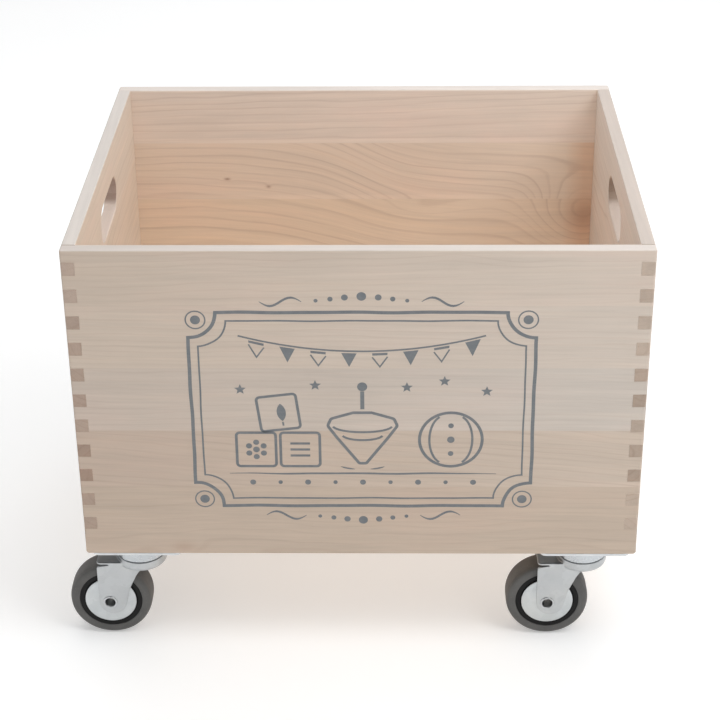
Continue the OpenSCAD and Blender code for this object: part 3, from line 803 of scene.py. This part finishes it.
def ink(name):
    """Grey screen ink, a little thin over the grain."""
    k = Net(name)
    p = k.coord()
    grain = k.noise(k.vec("MULTIPLY", p, (22, 10, 900)), 1, 4.0, 0.62)
    blot = k.noise(p, 160, 3.0, 0.6)
    speck = k.noise(p, 1500, 2.0, 0.5)
    col = k.mix(k.span(blot, 0.3, 0.7, 0, 1), (0.165, 0.180, 0.195), (0.205, 0.215, 0.225))
    thin = k.math("ADD", k.span(grain, 0.56, 0.78, 0, 0.30), k.span(speck, 0.64, 0.74, 0, 0.22), clamp=True)
    col = k.mix(thin, col, (0.52, 0.45, 0.39))
    k.set(Base_Color=col)
    k.set(Roughness=k.math("MULTIPLY_ADD", grain, 0.14, 0.52))
    k.bsdf.inputs["Specular IOR Level"].default_value = 0.3
    k.set(Normal=k.bump(grain, 0.2, 0.00004))
    return k.mat


zinc_mat = zinc("zinc_plate")
zinc_fork = zinc("zinc_fork", 1.0, (0.510, 0.522, 0.526), 0.33, (0.0795, 0.0815, 0.72))
zinc_cup = zinc("zinc_cup", 0.4, (0.545, 0.570, 0.588), 0.24)
zinc_disc = zinc("zinc_disc", 0.5, (0.580, 0.600, 0.602), 0.34)
zinc_rivet = zinc("zinc_rivet", 0.3, (0.53, 0.54, 0.545), 0.26, "bore")
zinc_pin = zinc("zinc_pin", 0.3, (0.70, 0.70, 0.70), 0.22)
ball_mat = zinc("ball_steel", 0.2, (0.74, 0.74, 0.75), 0.10)
rubber_mat = rubber("tyre_rubber")
plastic_mat = plastic("core_plastic")
ink_mat = ink("screen_ink")


# ---------------------------------------------------------------- lathe
def fillet(points, radii, seg=5):
    """A closed outline with its corners rounded: radii is one number or one for each point, 0 keeps a corner."""
    n = len(points)
    out = []
    for i, p in enumerate(points):
        r = radii if isinstance(radii, (int, float)) else radii[i]
        p, a, b = Vector(p), Vector(points[i - 1]), Vector(points[(i + 1) % n])
        if r <= 0:
            out.append(tuple(p))
            continue
        da, db = (a - p), (b - p)
        la, lb = da.length, db.length
        da.normalize(); db.normalize()
        cosv = max(-1, min(1, da.dot(db)))
        ang = math.acos(cosv)
        if ang > math.pi - 0.02:
            out.append(tuple(p))
            continue
        cut = min(r / math.tan(ang / 2), la * 0.49, lb * 0.49)
        rr = cut * math.tan(ang / 2)
        centre = p + (da + db).normalized() * (rr / math.sin(ang / 2))
        s, e = p + da * cut - centre, p + db * cut - centre
        t0, t1 = math.atan2(s.y, s.x), math.atan2(e.y, e.x)
        d = t1 - t0
        while d > math.pi: d -= 2 * math.pi
        while d < -math.pi: d += 2 * math.pi
        for j in range(seg + 1):
            t = t0 + d * j / seg
            out.append((centre.x + rr * math.cos(t), centre.y + rr * math.sin(t)))
    return out


def lathe(profile, origin, axis, segs=96, closed=True):
    """Turns a closed outline of (radius, height) in mm about an axis through origin. The mesh is closed. A point with radius 0 is a pole."""
    bm = bmesh.new()
    rings = []
    for r, h in profile:
        r, h = r * MM, h * MM
        if r < 1e-7:
            rings.append([bm.verts.new((0, 0, h))])
        else:
            rings.append([bm.verts.new((r * math.cos(2 * math.pi * i / segs), r * math.sin(2 * math.pi * i / segs), h)) for i in range(segs)])
    n = len(rings)
    for j in range(n):
        a, b = rings[j], rings[(j + 1) % n]
        if len(a) == 1 and len(b) == 1:
            continue
        for i in range(segs):
            i2 = (i + 1) % segs
            if len(a) == 1:
                bm.faces.new((a[0], b[i2], b[i]))
            elif len(b) == 1:
                bm.faces.new((a[i], a[i2], b[0]))
            else:
                bm.faces.new((a[i], a[i2], b[i2], b[i]))
    bmesh.ops.recalc_face_normals(bm, faces=bm.faces)
    me = bpy.data.meshes.new("lathe")
    bm.to_mesh(me)
    bm.free()
    put_attr(me, "cyl", [(math.hypot(v.co.x, v.co.y), v.co.z, math.atan2(v.co.y, v.co.x)) for v in me.vertices])
    rot = Matrix.Identity(4) if axis == "z" else Matrix.Rotation(math.pi / 2, 4, "X")
    me.transform(Matrix.Translation(Vector(origin)) @ rot)
    smooth(me)
    return me


def auto_sharp(ob, angle=0.6):
    me = ob.data
    bm = bmesh.new()
    bm.from_mesh(me)
    for e in bm.edges:
        e.smooth = not (e.is_manifold and e.calc_face_angle(0) > angle)
    bm.to_mesh(me)
    bm.free()


# ---------------------------------------------------------------- fork, in the caster's own frame, in mm
WR = 37.5
TRAIL = 30.0


def extrude_xz(outline, y0, y1):
    bm = bmesh.new()
    a = [bm.verts.new((x, y0, z)) for x, z in outline]
    b = [bm.verts.new((x, y1, z)) for x, z in outline]
    bm.faces.new(a)
    bm.faces.new(b[::-1])
    n = len(outline)
    for i in range(n):
        bm.faces.new((a[i], b[i], b[(i + 1) % n], a[(i + 1) % n]))
    bmesh.ops.recalc_face_normals(bm, faces=bm.faces)
    me = bpy.data.meshes.new("part")
    bm.to_mesh(me)
    bm.free()
    return me


def leg_outline():
    pts = [(-40, 76.4), (-40, 37.5)]
    pts += [(-27.5 + 12.5 * math.cos(t), 37.5 + 12.5 * math.sin(t)) for t in [math.pi + (2 * math.pi - 0.218 - math.pi) * j / 22 for j in range(1, 23)]]
    pts += [(-11.4, 51.4), (-7.6, 60.2), (-4.3, 67.3), (-1.2, 72.0), (4, 75.0), (12, 76.5), (12, 81), (-23, 81), (-24.5, 79.0)]
    return pts


def fork_mesh():
    """One pressed piece: built from its plates, then welded into one skin with soft pressed edges."""
    parts = []
    leg = fillet(leg_outline(), [2.2, 0] + [0] * 22 + [3, 4, 4, 4, 4, 0, 0, 1.0, 1.0], 4)
    for s in (-1, 1):
        parts.append(extrude_xz(leg, s * 14.0, s * 16.0))
    web = fillet([(-40, -16), (-8, -16), (-8, 16), (-40, 16)], [3.5, 0, 0, 3.5], 6)
    bm = bmesh.new()
    a = [bm.verts.new((x, y, 79.0)) for x, y in web]
    b = [bm.verts.new((x, y, 81.0)) for x, y in web]
    bm.faces.new(a); bm.faces.new(b[::-1])
    for i in range(len(web)):
        j = (i + 1) % len(web)
        bm.faces.new((a[i], b[i], b[j], a[j]))
    bmesh.ops.recalc_face_normals(bm, faces=bm.faces)
    me = bpy.data.meshes.new("part"); bm.to_mesh(me); bm.free()
    parts.append(me)
    prof = fillet([(5.08, 79), (16, 79), (16, 75.2), (17.2, 75.0), (20.0, 75.4), (22.2, 77.0), (23, 79.4), (23, 85.5), (20.6, 85.5), (20.6, 81), (5.08, 81)],
                  [0.3, 0.4, 0.6, 1, 2.5, 2.5, 2, 0.5, 0.5, 0.8, 0.3], 4)
    crown = lathe(prof, (0, 0, 0), "z", 96)
    crown.transform(Matrix.Scale(1000, 4))
    parts.append(crown)
    # the crown's rim runs down into each leg as one pressed curve
    for s in (-1, 1):
        gus = [(-24, 79.2), (-24, 80.8), (-8, 80.8), (12, 80.8), (12, 77.2), (4, 75.6), (-6, 77.0), (-14, 79.2)]
        parts.append(extrude_xz(gus, s * 12.5, s * 15.9))
    obs = []
    for me in parts:
        ob = bpy.data.objects.new("fork_part", me)
        bpy.context.scene.collection.objects.link(ob)
        obs.append(ob)
    bpy.ops.object.select_all(action="DESELECT")
    for o in obs:
        o.select_set(True)
    bpy.context.view_layer.objects.active = obs[0]
    bpy.ops.object.join()
    ob = obs[0]
    m = ob.modifiers.new("weld", "REMESH")
    m.mode, m.voxel_size = "VOXEL", 0.42
    m2 = ob.modifiers.new("soft", "SMOOTH")
    m2.factor, m2.iterations = 0.5, 4
    dg = bpy.context.evaluated_depsgraph_get()
    me = bpy.data.meshes.new_from_object(ob.evaluated_get(dg))
    bpy.data.objects.remove(ob)
    # cut the axle hole through both legs, clean and round
    ob = bpy.data.objects.new("fork_raw", me)
    bpy.context.scene.collection.objects.link(ob)
    cut = lathe([(0, -20000), (5300, -20000), (5300, 20000), (0, 20000)], (0, 0, 0), "y", 64)
    cut.transform(Matrix.Translation((-30, 0, 37.5)) @ Matrix.Identity(4))
    co = bpy.data.objects.new("cut", cut)
    bpy.context.scene.collection.objects.link(co)
    b = ob.modifiers.new("hole", "BOOLEAN")
    b.operation, b.object, b.solver = "DIFFERENCE", co, "EXACT"
    d = ob.modifiers.new("thin", "DECIMATE")
    d.ratio = 0.35
    dg = bpy.context.evaluated_depsgraph_get()
    me2 = bpy.data.meshes.new_from_object(ob.evaluated_get(dg))
    bpy.data.objects.remove(ob)
    bpy.data.objects.remove(co)
    me2.transform(Matrix.Scale(0.001, 4))
    smooth(me2)
    return me2


FORK = fork_mesh()


def placed(me, name):
    sx, sy = CASTERS[name]
    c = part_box("caster_plate_" + name)
    mid = (c[0] + c[1]) / 2
    rot = Matrix.Identity(4) if sy < 0 else Matrix.Rotation(math.pi, 4, "Z")
    me = me.copy()
    me.transform(Matrix.Translation((mid.x, mid.y, 0)) @ rot)
    return me


def caster(name):
    swivel, wheel = "swivel_" + name, "wheel_" + name
    axle = (-TRAIL * MM, 0, WR * MM)

    def piece(me, label, mat, body, node, sharp=0.7):
        ob = link(placed(me, name), label + "_" + name + "_v", [mat])
        auto_sharp(ob, sharp)
        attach(ob, body)
        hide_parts(node + "_" + name)
        return ob

    piece(FORK, "fork", zinc_fork, swivel, "fork", 1.2)

    tyre = fillet([(28.75, -11.7), (30.2, -12), (34.2, -12), (36.3, -11.0), (37.28, -7.6), (37.48, -4.5), (37.48, 4.5), (37.28, 7.6), (36.3, 11.0), (34.2, 12), (30.2, 12), (28.75, 11.7)],
                  [0.3, 0.8, 3, 3.5, 8, 20, 20, 8, 3.5, 3, 0.8, 0.3], 6)
    piece(lathe(tyre, axle, "y", 144), "tyre", rubber_mat, wheel, "tyre", 1.0)

    core = fillet([(7.06, -12.3), (10.6, -12.3), (11.6, -11.2), (12.6, -4), (23, -4), (24.0, -11.3), (28.74, -11.5), (28.74, 11.5), (24.0, 11.3), (23, 4), (12.6, 4), (11.6, 11.2), (10.6, 12.3), (7.06, 12.3)],
                  [0.3, 0.5, 0.6, 1.2, 1.2, 0.7, 0.5, 0.5, 0.7, 1.2, 1.2, 0.6, 0.5, 0.3], 4)
    piece(lathe(core, axle, "y", 128), "core", plastic_mat, wheel, "wheel_core", 1.0)

    halves = []
    for s in (-1, 1):
        g = [(5.3, 13.2), (9.5, 13.2), (13.5, 12.95), (18, 12.55), (21.6, 12.15), (23.5, 11.75), (23.5, 12.5), (21.8, 13.0), (18, 13.38), (13.5, 13.8), (9.5, 14.0), (5.3, 14.0)]
        g = fillet([(r, s * h) for r, h in g], [0.1, 3, 4, 6, 3, 0.3, 0.5, 4, 6, 4, 3, 0.1], 4)
        halves.append(lathe(g, axle, "y", 128))
    bm = bmesh.new()
    for h in halves:
        bm.from_mesh(h)
    both = bpy.data.meshes.new("guards"); bm.to_mesh(both); bm.free()
    piece(both, "guards", zinc_disc, swivel, "thread_guards", 1.0)

    rivet = fillet([(4.35, -15.5), (4.8, -16.7), (5.6, -17.0), (6.5, -16.6), (6.6, -16.02), (5.25, -16.0), (5.25, 16.0), (6.6, 16.02), (6.5, 16.6), (5.6, 17.0), (4.8, 16.7), (4.35, 15.5)],
                   [1.5, 0.5, 0.6, 0.4, 0.1, 0.1, 0.1, 0.1, 0.4, 0.6, 0.5, 1.5], 5)
    piece(lathe(rivet, axle, "y", 72), "rivet", zinc_rivet, swivel, "axle_rivet", 1.0)

    cup = fillet([(5.05, 86), (23, 86), (23, 99.5), (21, 99.5), (21, 88.5), (5.05, 88.5)], [0.3, 1.2, 0.2, 0.2, 0.8, 0.3], 6)
    piece(lathe(cup, (0, 0, 0), "z", 112), "cup", zinc_cup, "box", "swivel_cup", 1.0)

    for node, mat in (("kingpin", zinc_pin), ("upper_balls", ball_mat), ("lower_balls", ball_mat), ("axle_sleeve", zinc_pin), ("caster_plate", zinc_mat)):
        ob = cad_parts[node + "_" + name]
        ob.data.materials.clear()
        ob.data.materials.append(mat)
    for node in ("caster_plate", "kingpin"):
        soften(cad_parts[node + "_" + name], 0.35 * MM)


def soften(ob, width):
    w = ob.modifiers.new("weld", "WELD")
    w.merge_threshold = 1e-6
    b = ob.modifiers.new("edges", "BEVEL")
    b.width, b.segments, b.limit_method, b.angle_limit = width, 2, "ANGLE", math.radians(40)
    b.use_clamp_overlap = True
    b.harden_normals = False


for c in CASTERS:
    caster(c)

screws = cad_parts["caster_screws"]
screws.data.materials.clear()
screws.data.materials.append(zinc_pin)
soften(screws, 0.18 * MM)

# ---------------------------------------------------------------- print: a plain frame and simple toys, no lettering
INK_Y0, INK_Y1 = -(Y1 - 0.03 * MM), -(Y1 - 0.22 * MM)


class Ink:
    """Closed prisms of ink a fraction of a millimetre thick on the front wall. Positions in mm from the print's middle."""

    def __init__(self, cx, cz):
        self.bm = bmesh.new()
        self.cx, self.cz = cx, cz

    def at(self, x, z, y):
        return ((self.cx + x) * MM, y, (self.cz + z) * MM)

    def strip(self, left, right, closed):
        bm = self.bm
        rows = []
        for (lx, lz), (rx, rz) in zip(left, right):
            rows.append([bm.verts.new(self.at(lx, lz, INK_Y0)), bm.verts.new(self.at(rx, rz, INK_Y0)),
                         bm.verts.new(self.at(rx, rz, INK_Y1)), bm.verts.new(self.at(lx, lz, INK_Y1))])
        n = len(rows)
        for i in range(n if closed else n - 1):
            a, b = rows[i], rows[(i + 1) % n]
            for j in range(4):
                bm.faces.new((a[j], b[j], b[(j + 1) % 4], a[(j + 1) % 4]))
        if not closed:
            bm.faces.new(rows[0])
            bm.faces.new(rows[-1][::-1])

    def line(self, pts, width, closed=False, taper=False):
        """A stroke of even or tapered width along pts."""
        n = len(pts)
        left, right = [], []
        for i, p in enumerate(pts):
            a = pts[i - 1] if (i or closed) else pts[i]
            b = pts[(i + 1) % n] if (i < n - 1 or closed) else pts[i]
            d1, d2 = Vector((p[0] - a[0], p[1] - a[1])), Vector((b[0] - p[0], b[1] - p[1]))
            d1 = d1.normalized() if d1.length > 1e-9 else d2.normalized()
            d2 = d2.normalized() if d2.length > 1e-9 else d1
            t = (d1 + d2)
            t = t.normalized() if t.length > 1e-6 else d1
            nrm = Vector((-t.y, t.x))
            k = 1 / max(0.5, nrm.dot(Vector((-d1.y, d1.x))))
            w = width / 2 * k
            if taper:
                f = i / (n - 1)
                w *= 0.25 + 0.75 * min(1, 4 * f, 4 * (1 - f))
            left.append((p[0] + nrm.x * w, p[1] + nrm.y * w))
            right.append((p[0] - nrm.x * w, p[1] - nrm.y * w))
        self.strip(left, right, closed)

    def blob(self, pts):
        bm = self.bm
        a = [bm.verts.new(self.at(x, z, INK_Y0)) for x, z in pts]
        b = [bm.verts.new(self.at(x, z, INK_Y1)) for x, z in pts]
        bm.faces.new(a)
        bm.faces.new(b[::-1])
        n = len(pts)
        for i in range(n):
            bm.faces.new((a[i], b[i], b[(i + 1) % n], a[(i + 1) % n]))

    def done(self, name):
        bmesh.ops.recalc_face_normals(self.bm, faces=self.bm.faces)
        me = bpy.data.meshes.new(name)
        self.bm.to_mesh(me)
        self.bm.free()
        return link(me, name, [ink_mat])


def arc(cx, cz, r, a0, a1, n=24, rz=None):
    rz = r if rz is None else rz
    return [(cx + r * math.cos(math.radians(a0 + (a1 - a0) * i / n)), cz + rz * math.sin(math.radians(a0 + (a1 - a0) * i / n))) for i in range(n + 1)]


def circle(cx, cz, r, n=48):
    return arc(cx, cz, r, 0, 360 * (n - 1) / n, n - 1)


def wobble(pts, amount, seed):
    """Small hand-drawn unevenness."""
    rnd = random.Random(seed)
    ph = [rnd.uniform(0, 6.28) for _ in range(4)]
    out = []
    for i, (x, z) in enumerate(pts):
        t = i * 0.33
        out.append((x + amount * (math.sin(t + ph[0]) + 0.6 * math.sin(2.3 * t + ph[1])), z + amount * (math.sin(1.1 * t + ph[2]) + 0.6 * math.sin(1.9 * t + ph[3]))))
    return out


def seg(a, b, n=8):
    return [(a[0] + (b[0] - a[0]) * i / n, a[1] + (b[1] - a[1]) * i / n) for i in range(n + 1)]


def scooped(w, h, r, n=16):
    """A rectangle whose corners are scooped inwards."""
    pts = []
    for sx, sz, a0 in ((1, 1, 270), (-1, 1, 360), (-1, -1, 90), (1, -1, 180)):
        c = (sx * w, sz * h)
        pts += arc(c[0], c[1], r, a0, a0 - 90, n)
    out = []
    for i, p in enumerate(pts):
        out.append(p)
        q = pts[(i + 1) % len(pts)]
        d = math.hypot(q[0] - p[0], q[1] - p[1])
        if d > 12:
            out += seg(p, q, int(d / 5))[1:-1]
    return out


ik = Ink(3.0, 102 + 147.0)
ik.line(wobble(scooped(146, 96, 24), 0.25, 1), 3.0, closed=True)
ik.line(wobble(scooped(138, 88, 24), 0.2, 2), 1.5, closed=True)
for sx in (-1, 1):
    for sz in (-1, 1):
        ik.blob(circle(sx * 139, sz * 89, 4.2, 28))
        ik.line(arc(sx * 139, sz * 89, 8.2, 0, 352.5, 47), 1.2, closed=True)
# small beads above and below the frame
for sz in (-1, 1):
    ik.blob(circle(0, sz * 111, 4.0, 28))
    for sx in (-1, 1):
        for j, r in enumerate((2.8, 2.2, 1.7)):
            ik.blob(circle(sx * (14 + 12 * j), sz * (110 - 1.5 * j), r, 22))
        ik.line(wobble([(sx * (50 + 2.2 * i), sz * (106 + 4.0 * math.sin(i / 16 * math.pi * 2))) for i in range(17)], 0.1, 3), 2.0, taper=True)
# bunting inside the top of the frame
top = [(-104 + 208 * i / 48, 74 - 15 * (1 - ((i - 24) / 24) ** 2)) for i in range(49)]
ik.line(top, 1.5)
for j in range(8):
    i = 2 + j * 6
    (xa, za), (xb, zb) = top[i], top[i + 3]
    ik.blob([(xa, za - 2.0), ((xa + xb) / 2, min(za, zb) - 15), (xb, zb - 2.0)] if j % 2 else [(xa, za - 2.0), (xa + 0.2, za - 4.2), (xb - 0.2, zb - 4.2), (xb, zb - 2.0)])
    if not j % 2:
        ik.line([(xa, za - 5.8), ((xa + xb) / 2, min(za, zb) - 15), (xb, zb - 5.8)], 1.3)
# three toy blocks
def block(cx, cz, s, tilt, mark):
    c, sn = math.cos(math.radians(tilt)), math.sin(math.radians(tilt))
    turn = lambda p: (cx + p[0] * c - p[1] * sn, cz + p[0] * sn + p[1] * c)
    sq = fillet([(-s, -s), (s, -s), (s, s), (-s, s)], 3, 5)
    ik.line([turn(p) for p in sq], 2.4, closed=True)
    if mark == "flower":
        ik.blob([turn(p) for p in circle(0, 0, s * 0.17, 20)])
        for j in range(6):
            ik.blob([turn((s * 0.43 * math.cos(math.radians(60 * j + 30)) + p[0], s * 0.43 * math.sin(math.radians(60 * j + 30)) + p[1])) for p in circle(0, 0, s * 0.155, 18)])
    elif mark == "leaf":
        ik.blob([turn(p) for p in arc(-s * 0.30, 0, s * 0.68, -48, 48, 14) + arc(s * 0.60, 0, s * 0.68, 132, 228, 14)])
        ik.line([turn(p) for p in seg((s * 0.15, -s * 0.56), (s * 0.15, -s * 0.78), 3)], 1.6)
    else:
        for j in (-1, 0, 1):
            ik.line([turn(p) for p in seg((-s * 0.5, j * s * 0.36), (s * 0.5, j * s * 0.36), 6)], 2.2)


block(-92, -38, 17, 0, "flower")
block(-54, -38, 17, 0, "bars")
block(-72, -1, 17, 7, "leaf")
# spinning top
body = fillet([(-30, 0), (-27, 7), (-8, 13), (8, 13), (27, 7), (30, 0), (22, -12), (3, -38), (-3, -38), (-22, -12)], [3, 3, 3, 3, 3, 3, 6, 2, 2, 6], 5)
ik.line([(x, z - 14) for x, z in body], 2.6, closed=True)
ik.line(arc(0, -14, 25.5, 188, 352, 24, rz=6.5), 2.0)
ik.line(arc(0, -23, 17.5, 192, 348, 24, rz=5.5), 2.0)
ik.line(seg((0, 2.5), (0, 20), 6), 3.4)
ik.blob(circle(0, 24.6, 4.3, 28))
for sx in (-1, 1):
    ik.line(arc(sx * 4, -50, 20, 262 if sx < 0 else 278, 222 if sx < 0 else 318, 10, rz=8), 1.4, taper=True)
# ball with bands
bx, bz, br = 76, -28, 27
ik.line(circle(bx, bz, br, 72), 2.6, closed=True)
for kx in (-1, 1):
    ik.line([(bx + kx * (6 + 12.5 * math.cos(math.radians(t))) * 1.0, bz + (br - 3.2) * math.sin(math.radians(t))) for t in range(-72, 73, 6)], 2.0)
ik.blob(circle(bx, bz + 14, 2.4, 20)); ik.blob(circle(bx, bz, 3.2, 24)); ik.blob(circle(bx, bz - 14, 2.4, 20))
# ground line under the toys
ik.line(wobble(seg((-116, -62.5), (116, -62.5), 46), 0.25, 9), 1.8, taper=True)
for j in range(9):
    x = -96 + 24 * j
    ik.blob(circle(x, -71.5, 1.9 if j % 2 else 2.6, 20))
for j, (x, z) in enumerate(((-104, 22), (-40, 26), (38, 24), (106, 20), (70, 30))):
    p = []
    for i in range(10):
        r = 5.2 if i % 2 == 0 else 2.3
        p.append((x + r * math.sin(math.radians(36 * i)), z + r * math.cos(math.radians(36 * i))))
    ik.blob(p)
print_ob = ik.done("front_print")
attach(print_ob, "box")

# ---------------------------------------------------------------- floor of the studio
fm = Net("studio_floor")
fp = fm.coord()
fm.set(Base_Color=fm.mix(fm.noise(fp, 3.0, 2.0, 0.5), (0.765, 0.765, 0.765), (0.785, 0.785, 0.785)))
fm.bsdf.inputs["Emission Color"].default_value = (1, 1, 1, 1)
fm.put(fm.bsdf, "Emission Strength", fm.span(fm.vec("LENGTH", fp), 2.2, 6.0, 0.33, 0.55))
fm.set(Roughness=fm.math("MULTIPLY_ADD", fm.noise(fp, 40, 2.0, 0.5), 0.05, 0.72))
fm.bsdf.inputs["Specular IOR Level"].default_value = 0.15
bm = bmesh.new()
bmesh.ops.create_grid(bm, x_segments=8, y_segments=8, size=9)
me = bpy.data.meshes.new("studio_floor")
bm.to_mesh(me)
bm.free()
stage = link(me, "studio_floor", [fm.mat])
stage.location = (0, 0, -0.0004)
